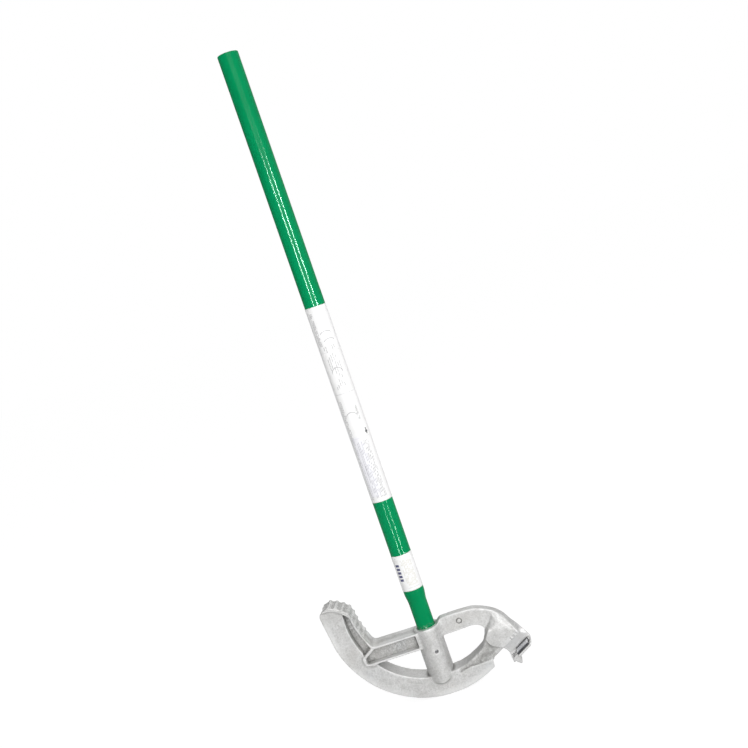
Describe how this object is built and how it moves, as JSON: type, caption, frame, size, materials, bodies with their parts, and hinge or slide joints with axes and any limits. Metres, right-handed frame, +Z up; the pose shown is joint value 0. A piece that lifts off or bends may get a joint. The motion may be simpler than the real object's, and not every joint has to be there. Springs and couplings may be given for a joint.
{
  "type": "conduit bender",
  "caption": "Hand conduit bender: cast aluminium head with curved grooved shoe, serrated foot pedal, handle socket and side-opening hook, on a long painted steel pipe handle with labels.",
  "frame": {"origin": "bottom centre of the bounding box, at the level of the shoe's lowest rim point; the handle axis is vertical at x = 2.1 mm", "axes": "+Z up along the handle, +X towards the hook, -Y the open side of the hook"},
  "size_m": [0.309, 0.0492, 1.06],
  "materials": {
    "cast_aluminium": "as-cast, satin, fine grain",
    "hook_steel": "bright ground steel",
    "screw_steel": "black oxide",
    "green_paint": "gloss enamel",
    "label_vinyl": null
  },
  "bodies": {
    "head": {"bender_head": "cast_aluminium", "hook_insert": "hook_steel"},
    "handle": {"handle_tube": "green_paint", "instruction_label": "label_vinyl", "short_label": "label_vinyl"},
    "set_screw": {"handle_set_screw": "screw_steel"}
  },
  "joints": [
    {"name": "handle_unscrew", "type": "slide", "parent": "head", "child": "handle", "axis": [0, 0, 1], "range_m": [0, 0.055]},
    {"name": "set_screw_back_out", "type": "slide", "parent": "head", "child": "set_screw", "axis": [0.2672, -0.9636, 0], "range_m": [0, 0.01]}
  ]
}
